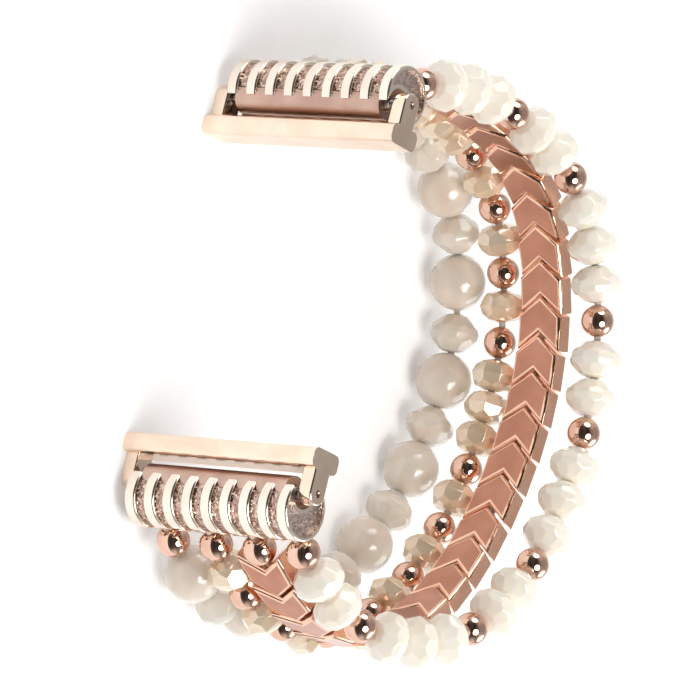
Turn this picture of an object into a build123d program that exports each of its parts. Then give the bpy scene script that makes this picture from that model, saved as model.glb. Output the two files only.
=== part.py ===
"""Beaded stretch band for a watch, lying on its nine o'clock side, in millimetres.

The watch's face would look along -Y, twelve o'clock is towards -X and the crown side is up.
Four elastic strands run from the ribbed connector at twelve o'clock round to the one at six.
"""
from build123d import *
import os
from math import cos, radians, sin, tan

os.makedirs("parts", exist_ok=True)

# Spring bars and the loop that hangs between them
bar_span = 46.9              # one spring bar to the other, across the watch
loop_width = 65.8            # strand centre to strand centre, twelve to six o'clock
loop_depth = 49.3            # spring bars to the strands at the back of the wrist
front_reach = 25.05          # spring bars in front of the band's middle
loop_sag = 1.9               # the loop hangs this much towards six o'clock
side_shift = 0.239           # the whole band is this far to the right, which centres it
route_pull = 1.0             # how firmly the strands keep their direction where they leave

# Lug adapters that slide into the watch
connector_length = 24.0      # the space between the two ears
end_play = 0.15              # connector to ear, at each end
ear_thickness = 1.9
ear_width = 2.8
rail_reach = 3.9             # spring bar to the middle of the rail
rail_thickness = 2.4
rail_width = 4.8
rail_rounding = 0.8
ear_rounding = 0.25

# Spring bars
bar_radius = 0.9
bar_bore = 0.61
tube_end_gap = 0.6           # bar tube to the connector's end
pin_radius = 0.58
pin_stem_length = 6.5
pin_tip_radius = 0.42
pin_tip_length = 1.85
pin_shoulder_gap = 0.25      # pin shoulder to ear
pin_tip_round = 0.15
tip_clearance = 0.03         # pin tip in its ear hole
sleeve_clearance = 0.03      # spring bar in its sleeve
spring_wall = 0.16
spring_clearance = 0.04

# Latches in the rails
latch_radius = 1.0
latch_clearance = 0.03
latch_length = 2.6
latch_proud = 0.5
latch_dome = 0.3
latch_hole_depth = 3.4
latch_spring_radius = 0.8
latch_spring_wall = 0.25
latch_spring_gap = 0.55      # room behind the latch for its travel

# Ribbed connectors
rib_radius = 3.7
rib_count = 9
rib_width = 1.55
rib_rounding = 0.3
groove_depth = 0.6
channel_radius = 1.9
body_reach = 2.06            # spring bar to the middle of the ribbed body
body_angle = 36.5            # degrees from straight out, towards the wrist
rim_width = 0.5
rim_height = 0.4
sleeve_inset = 1.4
sleeve_fit = 0.02
hang_angles = {"12": 7.5, "6": -2.5}

# Elastic cords
cord_radius = 0.4
bore_radius = 0.5
crimp_radius = 0.9
crimp_length = 1.4
crimp_pocket_clearance = 0.08
crimp_depth = 2.3            # shell side of the first ball to the crimp
stub_reach = 2.1             # the fixed cord goes this far into the second bead
lead_length = 8.6            # each strand leaves its connector straight for this long
seat_angle = 49.5            # where the first ball sits on the connector, degrees
exit_angle = 64.5            # the way the strands leave the connector, degrees
seat_gap = 0.15

# Beads
strand_pitch_share = 0.2675  # strand to strand, as a share of the connector's length
ball_radius = 2.0
round_radius = 3.5
milky_radius = 3.1
champagne_radius = 2.95
ivory_radius = 3.2
table_radius = 0.8
chevron_width = 6.2
chevron_thickness = 2.5
chevron_bevel = 0.3
chevron_slope = 37.0         # degrees that its edges lean back from its point
bead_gap = 0.2
chevron_gap = 0.26
flex_gap = 0.45              # where two segments of the band hinge

# Facets of the cut beads: how many in each row, and how far the rows lean, in degrees
facet_counts = {"M": 10, "F": 8, "I": 10}
girdle_angles = {"M": 12.0, "F": 20.0, "I": 14.0}
crown_angles = {"M": 45.0, "F": 48.0, "I": 45.0}
crown_radii = {"M": 1.2, "F": 1.45, "I": 1.35}    # where the crown's facets would meet the end
table_angle = 72.0
roll_angle = 23.0            # each bead is turned this much from the one before

# How far each strand wanders from its place, and the shares of it along the loop
sways = {1: -0.85, 2: 0.1, 3: 0.0, 4: 3.4}
tucks = {1: 3.0, 2: 0.0, 3: 0.0, 4: 0.0}
# Shares of loop width, of loop depth, of the sway and of the tuck, from twelve to six o'clock
route_shares = [
    (-0.500, 0.446, 0.00, 0.00),
    (-0.435, 0.795, 0.13, 0.00),
    (-0.190, 0.990, 0.47, 0.10),
    (0.094, 0.974, 0.87, 0.35),
    (0.365, 0.799, 1.00, 0.80),
    (0.480, 0.560, 0.70, 0.82),
]
# Beads of each strand, one word for each segment of the band: G metal ball, B milky round,
# M milky rondelle, F champagne rondelle, C chevron, I ivory rondelle
strands = {
    1: ["GMBMB", "MBMB", "MBMB", "MBMB", "MBMBG"],
    2: ["GFFGFFF", "GFGFGF", "GFFFGF", "GFGFGF", "GFGFGFG"],
    3: ["GCCCCC", "CCCCCC", "CCCCC", "CCCCCC", "CCCCCG"],
    4: ["GIIIGI", "IGIIIG", "IIGII", "IGIIGI", "IIGIIG"],
}
fillers = {1: "M", 2: "F", 3: "C", 4: "I"}
node_names = {
    "G": "metal_balls",
    "B": "milky_rounds",
    "M": "milky_rondelles",
    "F": "champagne_rondelles",
    "C": "chevron_beads",
    "I": "ivory_rondelles",
}

# Places worked out from the sizes
strand_pitch = connector_length * strand_pitch_share
ear_inner = connector_length / 2 + end_play
ear_outer = ear_inner + ear_thickness
mid_height = ear_outer
end_planes = {
    "12": Plane(
        origin=(-bar_span / 2 - loop_sag + side_shift, -front_reach, mid_height),
        x_dir=(-1, 0, 0),
        z_dir=(0, 0, -1),
    ),
    "6": Plane(
        origin=(bar_span / 2 - loop_sag + side_shift, -front_reach, mid_height),
        x_dir=(1, 0, 0),
        z_dir=(0, 0, 1),
    ),
}
up = Vector(0, 0, 1)


def polar(length, angle):
    """A point at this distance and at this angle from straight out."""
    return Vector(length * cos(radians(angle)), length * sin(radians(angle)), 0)


tube_centre = polar(body_reach, body_angle)
first_ball = tube_centre + polar(rib_radius + seat_gap + ball_radius, seat_angle)
exit_way = polar(1, exit_angle)


def keep(builder, name):
    """Label a finished piece and write it."""
    builder.part.label = name
    export_step(builder.part, f"parts/{name}.step")


def to_world(plane, point, height=0.0):
    return plane.from_local_coords(Vector(point.X, point.Y, height))


def turned(plane, angle):
    """The plane, turned in itself by this many degrees."""
    side = to_world(plane, polar(1, angle)) - plane.origin
    return Plane(origin=plane.origin, x_dir=side, z_dir=plane.z_dir)


def shell_plane(end):
    """The plane across a connector, turned to the angle that it hangs at."""
    return turned(end_planes[end], hang_angles[end])


def strand_offset(number):
    """Height of a strand above the middle of the band."""
    return (number - (len(strands) + 1) / 2) * strand_pitch


# Routes of the strands
def route_of(number):
    """The line that a strand's cord follows, from connector to connector."""
    height = Vector(0, 0, strand_offset(number))
    leads = {}
    for end in ("12", "6"):
        plane = shell_plane(end)
        start = to_world(plane, first_ball - exit_way * ball_radius) + height
        finish = to_world(plane, first_ball + exit_way * (lead_length - ball_radius)) + height
        leads[end] = (start, finish)
    inner = []
    for x_share, y_share, sway_share, tuck_share in route_shares:
        place = Vector(x_share * loop_width, y_share * loop_depth - front_reach, 0)
        inward = Vector(-place.X, -place.Y, 0).normalized() * (tucks[number] * tuck_share)
        rise = sways[number] * sway_share
        inner.append(place + inward + Vector(side_shift, 0, mid_height + rise) + height)
    way_out = leads["12"][1] - leads["12"][0]
    way_back = leads["6"][0] - leads["6"][1]
    with BuildLine() as route:
        Line(*leads["12"])
        Spline(
            leads["12"][1],
            *inner,
            leads["6"][1],
            tangents=[way_out, way_back],
            tangent_scalars=[route_pull, route_pull],
        )
        Line(leads["6"][1], leads["6"][0])
    return route.wires()[0]


notch_standoff = ball_radius * (1 / cos(radians(chevron_slope)) - 1)
fixed_lengths = {"G": 2 * ball_radius, "B": 2 * round_radius}


def gaps_of(number):
    """The gap after each bead of a strand but the last."""
    gaps = []
    words = strands[number]
    for word, next_word in zip(words, words[1:] + [""]):
        for bead, after in zip(word, word[1:] + next_word[:1]):
            gaps.append(chevron_gap if bead == after == "C" else bead_gap)
            if bead == "C" and after == "G":
                gaps[-1] += notch_standoff
        if next_word:
            gaps[-1] = flex_gap
    return gaps


routes = {number: route_of(number) for number in strands}
gap_lists = {number: gaps_of(number) for number in strands}


def filler_length(number):
    """The filler bead's length that makes the strand just fill its route."""
    beads = "".join(strands[number])
    used = sum(fixed_lengths.get(bead, 0) for bead in beads) + sum(gap_lists[number])
    return (routes[number].length - used) / beads.count(fillers[number])


filler_lengths = {number: filler_length(number) for number in strands}


def bead_length(number, bead):
    return fixed_lengths.get(bead, filler_lengths[number])


def along(route, distance):
    """The point of a route at this distance from its start."""
    distance = min(max(distance, 0), route.length)
    return route.position_at(distance, position_mode=PositionMode.LENGTH)


def lay_out(number):
    """Each segment's beads as (bead, place, end before it, end after it)."""
    route = routes[number]
    gaps = gap_lists[number] + [0.0]
    here = 0.0
    before = 0.0
    count = 0
    segments = []
    for word in strands[number]:
        segment = []
        for bead in word:
            length = bead_length(number, bead)
            start, finish = along(route, here), along(route, here + length)
            knots = [along(route, here - before / 2), along(route, here + length + gaps[count] / 2)]
            way = (finish - start).normalized()
            side = (up - way * up.dot(way)).normalized()
            plane = Plane(origin=(start + finish) / 2, x_dir=side, z_dir=-way)
            if bead != "C":
                plane = turned(plane, count * roll_angle)
            segment.append((bead, plane, start, finish, knots))
            before = gaps[count]
            here += length + before
            count += 1
        segments.append(segment)
    return segments


layouts = {number: lay_out(number) for number in strands}


# Beads, each made once along its own Z axis
def make_ball(radius):
    with BuildPart() as ball:
        Sphere(radius)
        Cylinder(bore_radius, 2 * radius, mode=Mode.SUBTRACT)
    return ball.part


def make_rondelle(kind, radius):
    """A cut bead: girdle facets, crown facets turned half a step, and facets round each end."""
    number = next(key for key, filler in fillers.items() if filler == kind)
    sides = facet_counts[kind]
    half = filler_lengths[number] / 2
    crown_radius = crown_radii[kind] + half * tan(radians(crown_angles[kind]))
    end_radius = table_radius + half * tan(radians(table_angle))
    with BuildPart() as bead:
        with BuildSketch():
            RegularPolygon(radius, sides)
        extrude(amount=half, taper=girdle_angles[kind], both=True)
        with BuildSketch():
            RegularPolygon(crown_radius, sides, major_radius=False, rotation=180 / sides)
        extrude(amount=half, taper=crown_angles[kind], both=True, mode=Mode.INTERSECT)
        with BuildSketch():
            RegularPolygon(end_radius, sides, major_radius=False)
        extrude(amount=half, taper=table_angle, both=True, mode=Mode.INTERSECT)
        Cylinder(bore_radius, 2 * half, mode=Mode.SUBTRACT)
    return bead.part


def make_chevron():
    """An arrow bead, point towards +Z, with bevelled front and back faces."""
    half = filler_lengths[3] / 2
    wing = chevron_width / 2
    drop = wing * tan(radians(chevron_slope))
    with BuildPart() as chevron:
        with BuildSketch(Plane.XZ):
            with BuildLine():
                Polyline(
                    (0, half),
                    (wing, half - drop),
                    (wing, -half - drop),
                    (0, -half),
                    (-wing, -half - drop),
                    (-wing, half - drop),
                    close=True,
                )
            make_face()
        extrude(amount=chevron_thickness / 2, both=True)
        broad_faces = chevron.faces().filter_by(Axis.Y)
        chamfer(broad_faces.edges(), chevron_bevel)
        Cylinder(bore_radius, 4 * half, mode=Mode.SUBTRACT)
    return chevron.part


# Beads of one kind in one segment
def group_beads(segment, kind):
    """Node of all the beads of one kind in a segment, each a separate solid."""
    places = {}
    for number, layout in layouts.items():
        for bead, plane, start, finish, knots in layout[segment]:
            if bead == kind:
                places.setdefault(number, []).append(plane)
    with BuildPart() as group:
        for number in places:
            with Locations(*places[number]):
                add(bead_parts[kind])
    keep(group, f"{node_names[kind]}_{segment + 1}")


# Elastic cords
def make_cords(segment):
    """The cords of one segment, which follow the beads' bores."""
    last = len(strands[1]) - 1
    with BuildPart() as cords:
        for number, layout in layouts.items():
            beads = layout[segment]
            if segment == 0:
                beads = beads[2:]
            if segment == last:
                beads = beads[:-2]
            corners = [beads[0][2]] + [entry[4][1] for entry in beads[:-1]] + [beads[-1][3]]
            with BuildLine() as path:
                Polyline(*corners)
            with BuildSketch(Plane(origin=corners[0], z_dir=corners[1] - corners[0])):
                Circle(cord_radius)
            sweep(path=path.wires()[0], transition=Transition.RIGHT)
    keep(cords, f"elastic_cords_{segment + 1}")


def end_beads(end, number):
    """The two beads next to a connector, the nearer one first."""
    layout = layouts[number]
    return layout[0][:2] if end == "12" else layout[-1][:-3:-1]


def make_stubs(end):
    """The cords' fixed ends, from their crimps to inside each strand's second bead."""
    plane = shell_plane(end)
    back = first_ball - exit_way * (ball_radius + crimp_depth + crimp_length)
    with BuildPart() as stubs:
        for number in strands:
            height = Vector(0, 0, strand_offset(number))
            second = end_beads(end, number)[1]
            near = second[2] if end == "12" else second[3]
            start = to_world(plane, back) + height
            with BuildSketch(Plane(origin=start, z_dir=near - start)):
                Circle(cord_radius)
            extrude(amount=(near - start).length + stub_reach)
    keep(stubs, f"cord_stubs_{end}")


# Ends that slide into the watch
def make_adapter(end):
    """Rail with an ear at each end for the spring bar, and a hole for the latch."""
    at = end_planes[end]
    with BuildPart() as adapter:
        with BuildSketch(at.offset(-ear_outer)):
            with Locations((-rail_reach, 0)):
                RectangleRounded(rail_thickness, rail_width, rail_rounding)
        extrude(amount=2 * ear_outer)
        for bottom in (-ear_outer, ear_inner):
            with BuildSketch(at.offset(bottom)):
                Circle(ear_width / 2)
                with Locations((-rail_reach / 2, 0)):
                    Rectangle(rail_reach, ear_width)
            extrude(amount=ear_thickness)
        tips = adapter.edges().filter_by(GeomType.CIRCLE)
        tips = [edge for edge in tips if abs(edge.radius - ear_width / 2) < tip_clearance]
        fillet(tips, ear_rounding)
        with BuildSketch(at.offset(-ear_outer)):
            Circle(pin_tip_radius + tip_clearance)
        extrude(amount=2 * ear_outer, mode=Mode.SUBTRACT)
        with BuildSketch(latch_plane(end)):
            Circle(latch_radius + latch_clearance)
        extrude(amount=-latch_hole_depth, mode=Mode.SUBTRACT)
    keep(adapter, f"lug_adapter_{end}")


def latch_plane(end):
    """The wrist side of the rail, where its latch stands out."""
    at = end_planes[end]
    origin = to_world(at, Vector(-rail_reach, rail_width / 2, 0))
    return Plane(origin=origin, x_dir=up, z_dir=at.y_dir)


def make_latch(end):
    with BuildPart() as latch:
        with BuildSketch(latch_plane(end).offset(latch_proud - latch_length)):
            Circle(latch_radius)
        extrude(amount=latch_length)
        nose = latch.faces().sort_by(Axis.Y)[-1]
        fillet(nose.edges(), latch_dome)
    keep(latch, f"latch_pin_{end}")
    spring_length = latch_hole_depth + latch_proud - latch_length - latch_spring_gap
    with BuildPart() as spring:
        with BuildSketch(latch_plane(end).offset(-latch_hole_depth)):
            Circle(latch_spring_radius)
            Circle(latch_spring_radius - latch_spring_wall, mode=Mode.SUBTRACT)
        extrude(amount=spring_length)
    keep(spring, f"latch_spring_{end}")


# Spring bars
def make_spring_bar(end):
    """The tube, its two sprung pins and the spring between them."""
    middle = Plane(origin=end_planes[end].origin)
    shoulder = ear_inner - pin_shoulder_gap
    tube_length = connector_length - 2 * tube_end_gap
    with BuildPart() as tube:
        with BuildSketch(middle.offset(-tube_length / 2)):
            Circle(bar_radius)
            Circle(bar_bore, mode=Mode.SUBTRACT)
        extrude(amount=tube_length)
    keep(tube, f"bar_tube_{end}")
    for side, way in (("upper", 1), ("lower", -1)):
        with BuildPart() as pin:
            with BuildSketch(middle.offset(way * shoulder)):
                Circle(pin_radius)
            extrude(amount=-way * pin_stem_length)
            with BuildSketch(middle.offset(way * shoulder)):
                Circle(pin_tip_radius)
            extrude(amount=way * pin_tip_length)
            tip = pin.faces().sort_by(Axis.Z)[-1 if way > 0 else 0]
            fillet(tip.edges(), pin_tip_round)
        keep(pin, f"bar_pin_{side}_{end}")
    room = shoulder - pin_stem_length
    with BuildPart() as spring:
        with BuildSketch(middle.offset(-room)):
            Circle(bar_bore - spring_clearance)
            Circle(bar_bore - spring_clearance - spring_wall, mode=Mode.SUBTRACT)
        extrude(amount=2 * room)
    keep(spring, f"bar_spring_{end}")


# Ribbed connectors
def make_connector(end):
    """C-shaped shell with ribs, recessed ends, and a hole and a pocket for each cord."""
    at = shell_plane(end)
    half = connector_length / 2
    rib_pitch = (connector_length - rib_width) / (rib_count - 1)
    centre = (tube_centre.X, tube_centre.Y)
    with BuildPart() as shell:
        with BuildSketch(at.offset(-half)):
            with Locations(centre):
                Circle(rib_radius - groove_depth)
        extrude(amount=connector_length)
        for n in range(rib_count):
            with BuildSketch(at.offset(n * rib_pitch - half)):
                with Locations(centre):
                    Circle(rib_radius)
            extrude(amount=rib_width)
        rounds = shell.edges().filter_by(GeomType.CIRCLE).group_by(SortBy.RADIUS)[-1]
        fillet(rounds, rib_rounding)
        with BuildSketch(at.offset(-half)):
            Circle(channel_radius)
            with Locations((-rib_radius, 0)):
                Rectangle(2 * rib_radius, 2 * channel_radius)
        extrude(amount=connector_length, mode=Mode.SUBTRACT)
        for floor, depth in ((half - rim_height, rim_height), (-half, rim_height)):
            with BuildSketch(at.offset(floor)):
                with Locations(centre):
                    Circle(rib_radius - rim_width)
                Circle(channel_radius + rim_width, mode=Mode.SUBTRACT)
                with Locations((-rib_radius, 0)):
                    Rectangle(2 * rib_radius, 2 * (channel_radius + rim_width), mode=Mode.SUBTRACT)
            extrude(amount=depth, mode=Mode.SUBTRACT)
        for number in strands:
            height = Vector(0, 0, strand_offset(number))
            hole_start = to_world(at, first_ball - exit_way * ball_radius) + height
            pocket_start = hole_start - out_way(end) * crimp_depth
            pocket_radius = crimp_radius + crimp_pocket_clearance
            pocket_length = crimp_length + 2 * crimp_pocket_clearance
            with BuildSketch(Plane(origin=hole_start, z_dir=-out_way(end))):
                Circle(bore_radius)
            extrude(amount=crimp_depth + crimp_length, mode=Mode.SUBTRACT)
            pocket_start = pocket_start + out_way(end) * crimp_pocket_clearance
            with BuildSketch(Plane(origin=pocket_start, z_dir=-out_way(end))):
                Circle(pocket_radius)
            extrude(amount=pocket_length, mode=Mode.SUBTRACT)
    keep(shell, f"connector_shell_{end}")


def out_way(end):
    """The way that the strands leave this connector."""
    plane = shell_plane(end)
    return (to_world(plane, exit_way) - plane.origin).normalized()


def make_crimps(end):
    """A crimp on the end of each cord."""
    at = shell_plane(end)
    with BuildPart() as crimps:
        for number in strands:
            height = Vector(0, 0, strand_offset(number))
            reach = ball_radius + crimp_depth
            start = to_world(at, first_ball - exit_way * reach) + height
            with BuildSketch(Plane(origin=start, z_dir=-out_way(end))):
                Circle(crimp_radius)
                Circle(bore_radius, mode=Mode.SUBTRACT)
            extrude(amount=crimp_length)
    keep(crimps, f"cord_crimps_{end}")


def make_sleeve(end):
    """The bush in the connector's channel that turns on the spring bar."""
    at = end_planes[end]
    length = connector_length - 2 * sleeve_inset
    with BuildPart() as sleeve:
        with BuildSketch(at.offset(-length / 2)):
            Circle(channel_radius - sleeve_fit)
            Circle(bar_radius + sleeve_clearance, mode=Mode.SUBTRACT)
        extrude(amount=length)
    keep(sleeve, f"bar_sleeve_{end}")


bead_parts = {
    "G": make_ball(ball_radius),
    "B": make_ball(round_radius),
    "M": make_rondelle("M", milky_radius),
    "F": make_rondelle("F", champagne_radius),
    "C": make_chevron(),
    "I": make_rondelle("I", ivory_radius),
}
for segment in range(len(strands[1])):
    for kind in node_names:
        group_beads(segment, kind)
    make_cords(segment)
for end in end_planes:
    make_adapter(end)
    make_latch(end)
    make_spring_bar(end)
    make_connector(end)
    make_crimps(end)
    make_sleeve(end)
    make_stubs(end)

# Places of the joints
for segment in range(len(strands[1]) - 1):
    ends = [layouts[number][segment][-1][4][1] for number in strands]
    middle = sum(ends, Vector(0, 0, 0)) * (1 / len(ends))
    print("flex", segment + 1, round(middle.X, 3), round(middle.Y, 3))
for end, plane in end_planes.items():
    print("pivot", end, [round(v, 3) for v in plane.origin])
    print("stretch", end, [round(v, 5) for v in out_way(end)])
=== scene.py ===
"""Beaded stretch band for a watch: finishes, facets, hammered grooves and soft studio light."""
import math

import bmesh
import bpy
import numpy as np
from mathutils import Matrix, Vector, noise


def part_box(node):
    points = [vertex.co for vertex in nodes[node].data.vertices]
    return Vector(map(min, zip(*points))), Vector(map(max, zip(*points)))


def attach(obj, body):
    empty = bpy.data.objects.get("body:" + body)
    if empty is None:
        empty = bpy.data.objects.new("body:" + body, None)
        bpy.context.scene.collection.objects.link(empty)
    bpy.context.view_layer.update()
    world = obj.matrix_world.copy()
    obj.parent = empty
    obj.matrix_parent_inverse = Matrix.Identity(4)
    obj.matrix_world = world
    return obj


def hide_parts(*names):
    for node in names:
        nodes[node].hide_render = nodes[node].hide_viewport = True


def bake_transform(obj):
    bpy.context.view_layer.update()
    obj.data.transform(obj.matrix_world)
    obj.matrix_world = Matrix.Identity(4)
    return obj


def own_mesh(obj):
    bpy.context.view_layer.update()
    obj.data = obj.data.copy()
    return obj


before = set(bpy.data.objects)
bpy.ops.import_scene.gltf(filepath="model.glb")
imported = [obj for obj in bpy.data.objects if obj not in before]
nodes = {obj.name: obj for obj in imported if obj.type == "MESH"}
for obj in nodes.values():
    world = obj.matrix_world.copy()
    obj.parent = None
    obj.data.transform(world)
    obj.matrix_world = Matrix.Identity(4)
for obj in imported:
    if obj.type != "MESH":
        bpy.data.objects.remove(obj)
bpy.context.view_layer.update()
MM = 0.001

# Camera, along the photograph's view, with its sensor in millimetres
DIAL = Vector((-0.81, -32.35, 14.05)) * MM
VIEW = Vector((0.208, -0.763, 0.612)).normalized()
RIGHT = Vector((-0.230, 0.570, 0.789))
DISTANCE = 800 * MM
MIDDLE_RIGHT = 13.69 * MM
MIDDLE_DOWN = 8.09 * MM
FOCAL_PIXELS = 6960
IMAGE_PIXELS = 700
SENSOR_WIDTH = 36
CLIP_START = 10 * MM

# Sizes that the solids share, in metres, with angles in degrees
SEGMENTS = range(1, 6)
MID_HEIGHT = 14.05 * MM
BARS = {"12": (-25.111 * MM, -25.05 * MM), "6": (21.789 * MM, -25.05 * MM)}
HANG_ANGLES = {"12": 7.5, "6": -2.5}
BODY_REACH = 2.06 * MM
BODY_ANGLE = 36.5
CONNECTOR_LENGTH = 24.0 * MM
RIB_RADIUS = 3.7 * MM
RIB_COUNT = 9
RIB_WIDTH = 1.55 * MM
GROOVE_DEPTH = 0.6 * MM
RIM_HEIGHT = 0.4 * MM
BORE_RADIUS = 0.5 * MM
CORD_RADIUS = 0.4 * MM
BALL_RADII = {"metal_balls": 2.0 * MM, "milky_rounds": 3.5 * MM}

# Cut beads: the width to which edges are rounded, and the length above which they are. Angles
# are in radians. The faces of a chevron are told apart by their areas.
ROUNDED_EDGES = {
    "milky_rondelles": (0.14 * MM, 0.25 * MM),
    "champagne_rondelles": (0.05 * MM, 0.25 * MM),
    "ivory_rondelles": (0.14 * MM, 0.25 * MM),
    "chevron_beads": (0.14 * MM, 1.0 * MM),
}
ROUNDING_STEPS = 3
SAME_CORNER = 0.0005 * MM
FLAT_ANGLE = math.radians(1.0)
SHARP_ANGLE = 0.2
CHEVRON_EDGE_AREA = 2.6 * MM**2
CHEVRON_SIDE_AREA = 12 * MM**2

# Balls: the bore's rounded mouth, whose crest lies between the sphere's edge and the wall
MOUTH_WIDTH = 0.12 * MM
MOUTH_DEPTH = 0.08 * MM
CREST_WIDTH = 0.03 * MM
CREST_RISE = 0.02 * MM
BALL_STEPS = 28
BALL_SIDES = 56

# Faces belong to a bore's wall when their middles lie within this share of the ball's radius
NEAR_BORE = 0.75

# Beaten strips in the connectors' grooves: an arc in degrees, and dimples that reach this share
# of their pitch
STRIP_ARC = (-108, 165)
STRIP_GAP = 0.02 * MM
STRIP_STEPS_AROUND = 240
STRIP_STEPS_ALONG = 10
DIMPLE_PITCH = 0.42 * MM
DIMPLE_REACH = 0.6
DIMPLE_DEPTH = 0.20 * MM

# The smallest height of the normal of a face that counts as level
LEVEL = 0.99

# Springs: the room that each coil fills at rest, and a small clearance left at its end
BAR_COIL = {"radius": 0.57 * MM, "wire": 0.16 * MM, "turns": 16}
BAR_ROOM = 5.4 * MM
LATCH_COIL = {"radius": 0.8 * MM, "wire": 0.25 * MM, "turns": 3}
LATCH_ROOM = 1.3 * MM
SPRING_CLEARANCE = 0.02 * MM
COIL_STEPS = 20
WIRE_SIDES = 6

# Lengths of cord that bridge the cuts between segments
FACING_REACH = 0.65 * MM
STRAND_GAP = 2 * MM
BRIDGE_RADIUS = CORD_RADIUS + 0.02 * MM
BRIDGE_OVERLAP = 0.5 * MM
BRIDGE_SIDES = 20

# Floor and walls
FLOOR_REACH = 3.0
FLOOR_CELLS = 8
FLOOR_GAP = 0.02 * MM
FLOOR_GLOW = 0.25
DARK_SIDE_LEAN = 0.15


def new_object(name, data):
    """An object in the scene for this mesh, lamp or camera."""
    made = bpy.data.objects.new(name, data)
    bpy.context.scene.collection.objects.link(made)
    return made


def placing(spot, way):
    """The matrix that moves a shape to a spot and turns its Z axis along a way."""
    return Matrix.Translation(spot) @ way.to_track_quat("Z", "Y").to_matrix().to_4x4()


def add_camera():
    """A long lens at the photograph's angle, with the picture's middle on its axis."""
    right = (RIGHT - VIEW * RIGHT.dot(VIEW)).normalized()
    up = VIEW.cross(right)
    place = DIAL + right * MIDDLE_RIGHT - up * MIDDLE_DOWN + VIEW * DISTANCE
    data = bpy.data.cameras.new("camera")
    data.sensor_width = SENSOR_WIDTH
    data.lens = FOCAL_PIXELS / IMAGE_PIXELS * SENSOR_WIDTH
    data.clip_start = CLIP_START
    camera = new_object("camera", data)
    camera.matrix_world = Matrix.Translation(place) @ Matrix((right, up, VIEW)).transposed().to_4x4()
    bpy.context.scene.camera = camera


# Materials
class Graph:
    """A tree of shading nodes, with short calls to add and link them."""

    def __init__(self, tree):
        self.tree = tree

    def add(self, kind, **settings):
        node = self.tree.nodes.new(kind)
        for key, value in settings.items():
            setattr(node, key, value)
        return node

    def link(self, source, target):
        self.tree.links.new(source, target)

    def ramp(self, source, stops):
        """Colours along a value, as (position, colour) pairs."""
        node = self.add("ShaderNodeValToRGB")
        elements = node.color_ramp.elements
        while len(elements) < len(stops):
            elements.new(position=0.5)
        for element, (position, colour) in zip(elements, stops):
            element.position = position
            element.color = (*colour, 1)
        self.link(source, node.inputs["Fac"])
        return node.outputs["Color"]


class Shading(Graph):
    """A material's nodes, whose textures stay with the object."""

    def __init__(self, name):
        self.material = bpy.data.materials.new(name)
        self.material.use_nodes = True
        super().__init__(self.material.node_tree)
        self.shader = self.tree.nodes["Principled BSDF"]
        self.place = self.add("ShaderNodeTexCoord").outputs["Object"]

    def set(self, **values):
        """Constants on the shader's own sockets."""
        for key, value in values.items():
            self.shader.inputs[key.replace("_", " ")].default_value = value

    def noise(self, scale, detail=3.0, rough=0.5):
        node = self.add("ShaderNodeTexNoise")
        node.inputs["Scale"].default_value = scale
        node.inputs["Detail"].default_value = detail
        node.inputs["Roughness"].default_value = rough
        self.link(self.place, node.inputs["Vector"])
        return node.outputs["Fac"]

    def cells(self, scale):
        """Small cells, each with its own colour and the distance from its middle."""
        node = self.add("ShaderNodeTexVoronoi")
        node.inputs["Scale"].default_value = scale
        self.link(self.place, node.inputs["Vector"])
        return node.outputs["Color"], node.outputs["Distance"]

    def colour(self, source, stops):
        self.link(self.ramp(source, stops), self.shader.inputs["Base Color"])

    def roughness(self, source, low, high):
        """Maps a 0 to 1 value onto roughness between low and high."""
        node = self.add("ShaderNodeMapRange")
        node.inputs["To Min"].default_value = low
        node.inputs["To Max"].default_value = high
        self.link(source, node.inputs["Value"])
        self.link(node.outputs["Result"], self.shader.inputs["Roughness"])

    def bump(self, source, strength, height):
        node = self.add("ShaderNodeBump")
        node.inputs["Strength"].default_value = strength
        node.inputs["Distance"].default_value = height
        self.link(source, node.inputs["Height"])
        self.link(node.outputs["Normal"], self.shader.inputs["Normal"])


def polished_metal(name, dark, light, low=0.04, high=0.12):
    """Mirror metal with a faint cloudiness and hairline wear."""
    made = Shading(name)
    made.set(Metallic=1.0)
    made.colour(made.noise(260), [(0.35, dark), (0.65, light)])
    made.roughness(made.noise(900, detail=6, rough=0.6), low, high)
    made.bump(made.noise(700), strength=0.05, height=0.02 * MM)
    return made.material


def satin_metal(name, dark, light, low, high):
    """Brushed metal with a fine, even grain."""
    grain = 2400
    made = Shading(name)
    made.set(Metallic=1.0)
    made.colour(made.noise(240, detail=2), [(0.35, dark), (0.65, light)])
    made.roughness(made.noise(grain, detail=4), low, high)
    made.bump(made.noise(grain, detail=2), strength=0.03, height=0.01 * MM)
    return made.material


def glittery_metal(name):
    """The rough, sparkling floor inside a connector's rim."""
    made = Shading(name)
    made.set(Metallic=1.0)
    tints, distances = made.cells(3600)
    made.colour(tints, [(0.0, (0.32, 0.23, 0.20)), (1.0, (0.74, 0.60, 0.53))])
    made.roughness(made.noise(2600), 0.16, 0.4)
    made.bump(distances, strength=0.6, height=0.15 * MM)
    return made.material


def hammered_metal(name):
    """Beaten rose gold, finely broken up into darker and lighter facets, and darkened overall as
    painted shade in the recessed grooves.
    """
    made = Shading(name)
    made.set(Metallic=1.0)
    tints, distances = made.cells(3000)
    # The stops are kept dark: painted shade where the grooves lie recessed between the ribs
    stops = [(0.0, (0.20, 0.11, 0.09)), (0.45, (0.40, 0.26, 0.21)), (1.0, (0.82, 0.66, 0.57))]
    made.colour(tints, stops)
    made.roughness(made.noise(2200), 0.14, 0.34)
    made.bump(distances, strength=0.7, height=0.12 * MM)
    return made.material


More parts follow.
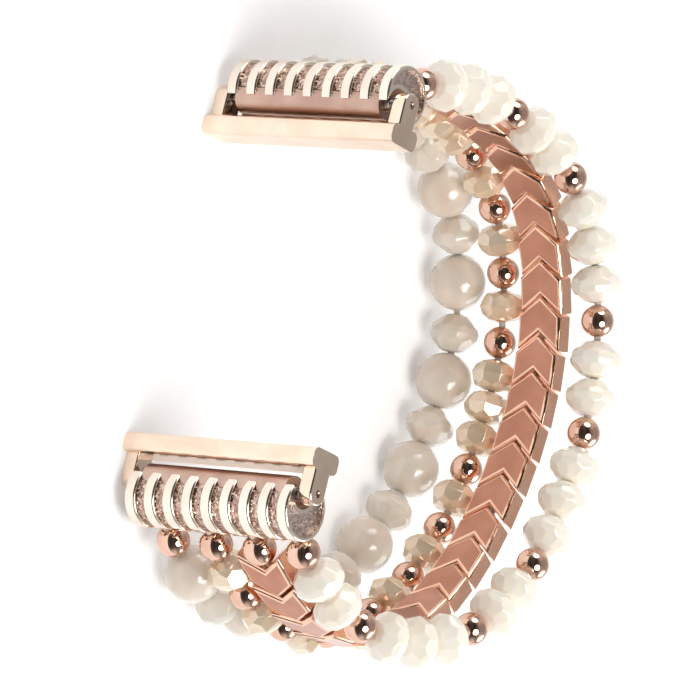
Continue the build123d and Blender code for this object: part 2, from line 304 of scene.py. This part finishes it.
def milky_bead(name, dark, light):
    """Opal-like bead: cloudy depth under a glassy skin."""
    made = Shading(name)
    made.set(Coat_Weight=0.7, Coat_Roughness=0.04, IOR=1.5, Transmission_Weight=0.22)
    made.set(Subsurface_Weight=0.6, Subsurface_Radius=(1.0, 0.82, 0.66), Subsurface_Scale=1.6 * MM)
    made.colour(made.noise(190, detail=4, rough=0.6), [(0.3, dark), (0.7, light)])
    made.roughness(made.noise(600), 0.07, 0.15)
    made.bump(made.noise(520), strength=0.03, height=0.02 * MM)
    return made.material


def crystal_bead(name):
    """Honey crystal with a thin metallic lustre on its facets."""
    made = Shading(name)
    made.set(Coat_Weight=1.0, Coat_Roughness=0.02, Coat_IOR=1.9, Coat_Tint=(1.0, 0.96, 0.92, 1))
    made.set(Metallic=0.2, Transmission_Weight=0.25, IOR=1.6)
    made.colour(made.noise(330, detail=2), [(0.3, (0.96, 0.75, 0.52)), (0.7, (1.0, 0.92, 0.76))])
    made.roughness(made.noise(800), 0.04, 0.12)
    made.bump(made.noise(900), strength=0.02, height=0.02 * MM)
    return made.material


def pearly_bead(name):
    """Creamy bead with a soft glow under a lustrous skin."""
    made = Shading(name)
    made.set(Coat_Weight=0.8, Coat_Roughness=0.05, IOR=1.5)
    made.set(Subsurface_Weight=0.3, Subsurface_Radius=(1.0, 0.82, 0.62), Subsurface_Scale=1.2 * MM)
    made.colour(made.noise(220), [(0.3, (0.98, 0.86, 0.73)), (0.7, (0.99, 0.93, 0.83))])
    made.roughness(made.noise(700), 0.1, 0.24)
    made.bump(made.noise(600), strength=0.03, height=0.02 * MM)
    return made.material


def cord_rubber(name):
    """Pale elastic cord with a slightly uneven skin."""
    made = Shading(name)
    made.set(Metallic=0.0)
    made.colour(made.noise(1400, detail=4), [(0.3, (0.66, 0.56, 0.48)), (0.7, (0.82, 0.74, 0.66))])
    made.roughness(made.noise(1800), 0.3, 0.5)
    made.bump(made.noise(3500), strength=0.2, height=0.03 * MM)
    return made.material


MATERIALS = {
    # Rose gold darkened below its own colour: painted shade for darker reflections
    "metal_balls": polished_metal(
        "rose_gold_mirror", (0.67, 0.42, 0.32), (0.75, 0.50, 0.39), low=0.02, high=0.07
    ),
    "milky_rounds": milky_bead("milky_round", (0.93, 0.78, 0.66), (0.99, 0.90, 0.80)),
    "milky_rondelles": milky_bead("milky_facets", (0.95, 0.81, 0.69), (1.0, 0.92, 0.83)),
    "champagne_rondelles": crystal_bead("champagne_crystal"),
    "chevron_beads": satin_metal(
        "satin_rose_gold", (0.42, 0.19, 0.125), (0.50, 0.24, 0.165), low=0.16, high=0.24
    ),
    # Paler rose gold on the chevrons' polished bevels: a painted highlight
    "chevron_edge_highlights": polished_metal("bevelled_rose_gold_highlight", (0.76, 0.46, 0.33), (0.85, 0.57, 0.43)),
    # A brighter copper on the chevrons' sides: painted light on the same rose gold
    "chevron_lit_sides": satin_metal(
        "sides_painted_light", (0.94, 0.50, 0.34), (0.97, 0.58, 0.42), low=0.24, high=0.34
    ),
    "ivory_rondelles": pearly_bead("pearly_ivory"),
    "elastic": cord_rubber("elastic"),
    "connector": polished_metal(
        "champagne_gold", (0.80, 0.69, 0.59), (0.88, 0.78, 0.68), low=0.12, high=0.22
    ),
    "lug": polished_metal(
        "champagne_gold_lug", (0.84, 0.65, 0.51), (0.91, 0.74, 0.60), low=0.08, high=0.16
    ),
    "sleeve": satin_metal(
        "sleeve_rose_gold", (0.50, 0.32, 0.26), (0.60, 0.42, 0.34), low=0.3, high=0.45
    ),
    "crimp": satin_metal("crimp_metal", (0.62, 0.60, 0.58), (0.76, 0.75, 0.73), low=0.25, high=0.4),
    "latch": polished_metal("latch_steel", (0.74, 0.72, 0.70), (0.86, 0.84, 0.82)),
    "steel": satin_metal("plain_steel", (0.56, 0.56, 0.56), (0.74, 0.74, 0.74), low=0.2, high=0.35),
    "rim_floor": glittery_metal("glittery_floor"),
    "groove": hammered_metal("hammered_rose_gold"),
}

# Materials of the nodes at each end that keep their own shape
HARDWARE = {
    "lug_adapter": "lug",
    "latch_pin": "latch",
    "bar_sleeve": "sleeve",
    "bar_tube": "steel",
    "bar_pin_upper": "steel",
    "bar_pin_lower": "steel",
    "cord_crimps": "crimp",
    "cord_stubs": "elastic",
}


def paint(obj, *names):
    """Gives an object these materials, in this order."""
    obj.data.materials.clear()
    for name in names:
        obj.data.materials.append(MATERIALS[name])


# Meshes and pieces
def finished_mesh(name, work, smooth=()):
    """A mesh made from the work, with these of its faces shaded smooth."""
    for face in smooth:
        face.smooth = True
    mesh = bpy.data.meshes.new(name)
    work.to_mesh(mesh)
    work.free()
    return mesh


def full_turn(count):
    """Angles evenly spread round a circle."""
    return [2 * math.pi * i / count for i in range(count)]


def span_rows(work, rows, closed):
    """Faces with four corners between each row and the next, all round where the rows are closed."""
    count = len(rows[0])
    for here, after in zip(rows, rows[1:]):
        for i in range(count if closed else count - 1):
            following = (i + 1) % count
            work.faces.new((here[i], after[i], after[following], here[following]))


def new_piece(name, mesh, body):
    """A new piece that rides on a body."""
    piece = new_object(name, mesh)
    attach(piece, body)
    return piece


# Beads
def node_bmesh(name):
    """A node's solids as one editable mesh with shared corners."""
    work = bmesh.new()
    work.from_mesh(nodes[name].data)
    bmesh.ops.remove_doubles(work, verts=work.verts, dist=SAME_CORNER)
    return work


def bead_piece(kind, segment, mesh):
    """New beads in place of a segment's node, on the same body."""
    piece = new_piece(mesh.name, mesh, f"band_{segment}")
    paint(piece, kind)
    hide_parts(f"{kind}_{segment}")
    return piece


def cut_beads(kind, segment):
    """Cut beads from the node's own facets, with edges that aren't too short rounded."""
    width, shortest = ROUNDED_EDGES[kind]
    work = node_bmesh(f"{kind}_{segment}")
    bmesh.ops.dissolve_limit(work, angle_limit=FLAT_ANGLE, verts=work.verts, edges=work.edges)
    sharp = [edge for edge in work.edges if edge.is_manifold and edge.calc_face_angle(0) > SHARP_ANGLE]
    rounded = bmesh.ops.bevel(
        work,
        geom=[edge for edge in sharp if edge.calc_length() > shortest],
        offset=width,
        segments=ROUNDING_STEPS,
        profile=0.5,
        affect="EDGES",
        clamp_overlap=True,
    )
    return bead_piece(kind, segment, finished_mesh(f"{kind}_{segment}_cut", work, rounded["faces"]))


def polish_and_paint_chevron_light(piece):
    """Polished bevels painted paler as a highlight, and sides painted a brighter copper as painted
    light, on each chevron.
    """
    paint(piece, "chevron_beads", "chevron_edge_highlights", "chevron_lit_sides")
    # Small bevel faces get the painted highlight, the mid-sized sides the painted light
    for face in piece.data.polygons:
        if face.area < CHEVRON_EDGE_AREA:
            face.material_index = 1
        elif face.area < CHEVRON_SIDE_AREA:
            face.material_index = 2
        else:
            face.material_index = 0


def islands(work):
    """The separate solids of a mesh, each as a list of its corners."""
    found = []
    reached = set()
    for first in work.verts:
        if first in reached:
            continue
        reached.add(first)
        island = [first]
        for vert in island:
            for edge in vert.link_edges:
                other = edge.other_vert(vert)
                if other not in reached:
                    reached.add(other)
                    island.append(other)
        found.append(island)
    return found


def bore_line(island, centre, radius):
    """The direction of a ball's bore, to which the faces of its wall lie parallel."""
    near = NEAR_BORE * radius
    faces = [face for vert in island for face in vert.link_faces]
    wall = [face for face in faces if (face.calc_center_median() - centre).length < near]
    normals = np.array([face.normal for face in wall])
    directions = np.linalg.eigh(normals.T @ normals)[1]
    return Vector(directions[:, 0])


def turned_ball(radius):
    """A bored ball as a turned profile: sphere, rounded mouths and the bore's wall."""
    edge = BORE_RADIUS + MOUTH_WIDTH
    start = math.asin(edge / radius)
    profile = []
    for step in range(BALL_STEPS + 1):
        angle = start + (math.pi - 2 * start) * step / BALL_STEPS
        profile.append((radius * math.sin(angle), radius * math.cos(angle)))
    lip = math.sqrt(radius**2 - edge**2)
    mouth = [(BORE_RADIUS + CREST_WIDTH, -lip - CREST_RISE), (BORE_RADIUS, -lip + MOUTH_DEPTH)]
    profile += mouth + [(r, -z) for r, z in reversed(mouth)]
    work = bmesh.new()
    rings = []
    for r, z in profile:
        ring = [(r * math.cos(turn), r * math.sin(turn), z) for turn in full_turn(BALL_SIDES)]
        rings.append([work.verts.new(corner) for corner in ring])
    span_rows(work, rings + rings[:1], closed=True)
    bmesh.ops.recalc_face_normals(work, faces=work.faces)
    return finished_mesh("ball", work, work.faces)


def round_beads(kind, segment):
    """Bored balls in the places of the node's solids, all in one piece."""
    radius = BALL_RADII[kind]
    ball = turned_ball(radius)
    solids = node_bmesh(f"{kind}_{segment}")
    work = bmesh.new()
    for island in islands(solids):
        low = Vector([min(vert.co[axis] for vert in island) for axis in range(3)])
        high = Vector([max(vert.co[axis] for vert in island) for axis in range(3)])
        centre = (low + high) / 2
        place = placing(centre, bore_line(island, centre, radius))
        ball.transform(place)
        work.from_mesh(ball)
        ball.transform(place.inverted())
    bpy.data.meshes.remove(ball)
    solids.free()
    return bead_piece(kind, segment, finished_mesh(f"{kind}_{segment}_turned", work))


# Connectors
def body_axes(end):
    """The middle of a connector's ribbed body, and the ways outward and sideways across it."""
    hang = math.radians(HANG_ANGLES[end])
    sign = -1 if end == "12" else 1
    out = Vector((sign * math.cos(hang), math.sin(hang), 0))
    side = Vector((-sign * math.sin(hang), math.cos(hang), 0))
    lean = math.radians(BODY_ANGLE)
    bar = Vector((*BARS[end], MID_HEIGHT))
    return bar + (out * math.cos(lean) + side * math.sin(lean)) * BODY_REACH, out, side


def hammered_height(spot):
    """How far the beaten surface stands out here: least in the middle of each dimple."""
    distances, _ = noise.voronoi(spot / DIMPLE_PITCH)
    return min(distances[0], DIMPLE_REACH) * DIMPLE_DEPTH


def hammered_grooves(end):
    """Beaten strips that line the grooves between a connector's ribs."""
    centre, out, side = body_axes(end)
    first, last = (math.radians(angle) for angle in STRIP_ARC)
    pitch = (CONNECTOR_LENGTH - RIB_WIDTH) / (RIB_COUNT - 1)
    skin = RIB_RADIUS - GROOVE_DEPTH + STRIP_GAP
    work = bmesh.new()
    for groove in range(RIB_COUNT - 1):
        low = -CONNECTOR_LENGTH / 2 + groove * pitch + RIB_WIDTH
        high = low + pitch - RIB_WIDTH
        rows = []
        for i in range(STRIP_STEPS_AROUND + 1):
            angle = first + (last - first) * i / STRIP_STEPS_AROUND
            way = out * math.cos(angle) + side * math.sin(angle)
            row = []
            for j in range(STRIP_STEPS_ALONG + 1):
                height = low + (high - low) * j / STRIP_STEPS_ALONG
                spot = centre + way * skin + Vector((0, 0, height))
                row.append(work.verts.new(spot + way * hammered_height(spot)))
            rows.append(row)
        span_rows(work, rows, closed=False)
    bmesh.ops.recalc_face_normals(work, faces=work.faces)
    mesh = finished_mesh(f"hammered_grooves_{end}", work, work.faces)
    paint(new_piece(mesh.name, mesh, f"connector_{end}"), "groove")


def finish_shell(end):
    """Polished ribs, and the glittery floor inside each end's rim."""
    shell = nodes[f"connector_shell_{end}"]
    paint(shell, "connector", "rim_floor")
    floor_height = CONNECTOR_LENGTH / 2 - RIM_HEIGHT
    for face in shell.data.polygons:
        height = abs(face.center.z - MID_HEIGHT)
        level = abs(face.normal.z) > LEVEL
        sunk = abs(height - floor_height) < RIM_HEIGHT / 2
        face.material_index = 1 if level and sunk else 0


# Springs
def wound_spring(name, end, base, way, length, radius, wire, turns):
    """A coil of round wire from its base along its way, on the lug's body."""
    steps = COIL_STEPS * turns
    facing = way.to_track_quat("Z", "Y").to_matrix()
    work = bmesh.new()
    rings = []
    for step in range(steps + 1):
        angle = 2 * math.pi * step / COIL_STEPS
        out = Vector((math.cos(angle), math.sin(angle), 0))
        height = wire / 2 + (length - wire) * step / steps
        middle = out * (radius - wire / 2) + Vector((0, 0, height))
        ring = []
        for turn in full_turn(WIRE_SIDES):
            rim = out * math.cos(turn) + Vector((0, 0, math.sin(turn)))
            ring.append(work.verts.new(base + facing @ (middle + rim * wire / 2)))
        rings.append(ring)
    span_rows(work, rings, closed=True)
    skin = list(work.faces)
    work.faces.new(rings[0])
    work.faces.new(rings[-1])
    bmesh.ops.recalc_face_normals(work, faces=work.faces)
    coil = new_piece(name, finished_mesh(name, work, skin), f"lug_{end}")
    paint(coil, "steel")
    return coil


def bar_springs(end):
    """Both halves of the coil in a spring bar, one for each pin."""
    bar = Vector((*BARS[end], MID_HEIGHT))
    length = BAR_ROOM - SPRING_CLEARANCE
    for side, height in (("upper", 1), ("lower", -1)):
        way = Vector((0, 0, height))
        coil = wound_spring(f"bar_coil_{side}_{end}", end, bar, way, length, **BAR_COIL)
        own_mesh(coil)
        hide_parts(f"bar_spring_{end}")


def latch_spring(end):
    """The coil behind a latch, from the floor of its hole to the latch."""
    low, high = (Vector(corner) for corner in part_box(f"latch_spring_{end}"))
    floor = (low + high) / 2
    floor.y = low.y
    way = Vector((0, 1, 0))
    length = LATCH_ROOM - SPRING_CLEARANCE
    coil = wound_spring(f"latch_coil_{end}", end, floor, way, length, **LATCH_COIL)
    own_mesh(coil)
    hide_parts(f"latch_spring_{end}")


# Cords
def cord_corners(segment):
    """The corners of a segment's four lengths of cord, as rows of an array."""
    return np.array([vert.co for vert in nodes[f"elastic_cords_{segment}"].data.vertices])


def facing_ends(here, there):
    """The middles of the cord ends of one segment that face another, lowest strand first."""
    own, other = cord_corners(here), cord_corners(there)
    nearest = np.array([np.linalg.norm(other - corner, axis=1).min() for corner in own])
    facing = own[nearest < FACING_REACH]
    facing = facing[np.argsort(facing[:, 2])]
    cuts = np.nonzero(np.diff(facing[:, 2]) > STRAND_GAP)[0] + 1
    return [Vector(end.mean(0)) for end in np.split(facing, cuts)]


def cord_bridges():
    """A short length of cord over each cut between two segments."""
    for before, after in zip(SEGMENTS, SEGMENTS[1:]):
        starts, ends = facing_ends(before, after), facing_ends(after, before)
        work = bmesh.new()
        for start, end in zip(starts, ends):
            bmesh.ops.create_cone(
                work,
                cap_ends=False,
                segments=BRIDGE_SIDES,
                radius1=BRIDGE_RADIUS,
                radius2=BRIDGE_RADIUS,
                depth=(end - start).length + BRIDGE_OVERLAP,
                matrix=placing((start + end) / 2, (end - start).normalized()),
            )
        mesh = finished_mesh(f"cord_bridge_{before}", work, work.faces)
        piece = new_object(mesh.name, mesh)
        paint(piece, "elastic")
        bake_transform(piece)


# Light
def floor_white(name):
    """White that glows a little where the camera, a reflection or a see-through bead shows it."""
    made = Shading(name)
    made.set(Roughness=0.9, Specular_IOR_Level=0.0)
    made.colour(made.noise(3), [(0.3, (0.90, 0.90, 0.90)), (0.7, (0.93, 0.93, 0.93))])
    rays = made.add("ShaderNodeLightPath").outputs
    seen = rays["Is Camera Ray"]
    for kind in ("Is Glossy Ray", "Is Transmission Ray"):
        either = made.add("ShaderNodeMath", operation="MAXIMUM")
        made.link(seen, either.inputs[0])
        made.link(rays[kind], either.inputs[1])
        seen = either.outputs[0]
    strength = made.add("ShaderNodeMath", operation="MULTIPLY")
    strength.inputs[1].default_value = FLOOR_GLOW
    made.link(seen, strength.inputs[0])
    glow = made.add("ShaderNodeEmission")
    made.link(strength.outputs[0], glow.inputs["Strength"])
    both = made.add("ShaderNodeAddShader")
    made.link(made.shader.outputs[0], both.inputs[0])
    made.link(glow.outputs[0], both.inputs[1])
    made.link(both.outputs[0], made.tree.nodes["Material Output"].inputs["Surface"])
    return made.material


def add_floor():
    """A white floor that keeps a soft shadow."""
    work = bmesh.new()
    bmesh.ops.create_grid(work, x_segments=FLOOR_CELLS, y_segments=FLOOR_CELLS, size=FLOOR_REACH)
    floor = new_object("floor", finished_mesh("floor", work))
    floor.location.z = -FLOOR_GAP
    floor.data.materials.append(floor_white("floor"))


def add_lamp(name, way, reach, size, power):
    """A round softbox that faces the band from this direction."""
    data = bpy.data.lights.new(name, "AREA")
    data.shape = "DISK"
    data.size = size
    data.energy = power
    way = Vector(way).normalized()
    new_object(name, data).matrix_world = placing(Vector((0, 0, MID_HEIGHT)) + way * reach, way)


def add_lamps():
    """A strong lamp above the band, and two weaker ones lower down that soften its shadows."""
    add_lamp("key", way=(0.386, -0.172, 0.906), reach=0.55, size=0.36, power=2.25)
    add_lamp("fill", way=(-0.9, -0.3, 0.5), reach=0.60, size=0.40, power=1.20)
    add_lamp("back", way=(0.5, 0.8, 0.45), reach=0.60, size=0.40, power=0.90)


def wall_shades(graph, direction, axis, stops):
    """Greys from the far side of an axis to its near side, as (share of the way, grey)."""
    along = graph.add("ShaderNodeVectorMath", operation="DOT_PRODUCT")
    along.inputs[1].default_value = axis
    graph.link(direction, along.inputs[0])
    share = graph.add("ShaderNodeMapRange")
    share.inputs["From Min"].default_value = -1
    graph.link(along.outputs["Value"], share.inputs["Value"])
    greys = [(position, (grey, grey, grey)) for position, grey in stops]
    return graph.ramp(share.outputs["Result"], greys)


def add_world():
    """Studio walls with a dark side behind the lens and darker gaps between the lit panels."""
    world = bpy.data.worlds.new("studio")
    bpy.context.scene.world = world
    world.use_nodes = True
    graph = Graph(world.node_tree)
    direction = graph.add("ShaderNodeTexCoord").outputs["Generated"]
    dark_side = [(0.55, 0.90), (0.69, 0.50), (0.82, 0.12), (1.0, 0.06)]
    left_panel = [(0.0, 1.0), (0.30, 1.0), (0.38, 0.55), (0.46, 1.0)]
    right_panel = [(0.60, 0.95), (0.68, 0.38), (0.78, 0.50), (0.87, 0.85), (0.97, 0.45)]
    towards_lens = (VIEW - RIGHT * DARK_SIDE_LEAN).normalized()
    walls = graph.add("ShaderNodeVectorMath", operation="MULTIPLY")
    graph.link(wall_shades(graph, direction, towards_lens, dark_side), walls.inputs[0])
    graph.link(wall_shades(graph, direction, RIGHT, left_panel + right_panel), walls.inputs[1])
    mix = graph.add("ShaderNodeMix", data_type="RGBA")
    graph.link(graph.add("ShaderNodeLightPath").outputs["Is Camera Ray"], mix.inputs["Factor"])
    graph.link(walls.outputs["Vector"], mix.inputs["A"])
    mix.inputs["B"].default_value = (1, 1, 1, 1)
    graph.link(mix.outputs["Result"], graph.tree.nodes["Background"].inputs["Color"])


# The whole scene
def make_pieces():
    """Every new piece, and the finish of the nodes that keep their own shape."""
    for segment in SEGMENTS:
        for kind in BALL_RADII:
            round_beads(kind, segment)
        for kind in ROUNDED_EDGES:
            beads = cut_beads(kind, segment)
            if kind == "chevron_beads":
                polish_and_paint_chevron_light(beads)
        paint(nodes[f"elastic_cords_{segment}"], "elastic")
    for end in BARS:
        hammered_grooves(end)
        bar_springs(end)
        latch_spring(end)
        finish_shell(end)
        for part, look in HARDWARE.items():
            paint(nodes[f"{part}_{end}"], look)
    cord_bridges()


add_camera()
make_pieces()
add_floor()
add_lamps()
add_world()
bpy.context.scene.view_settings.view_transform = "Standard"
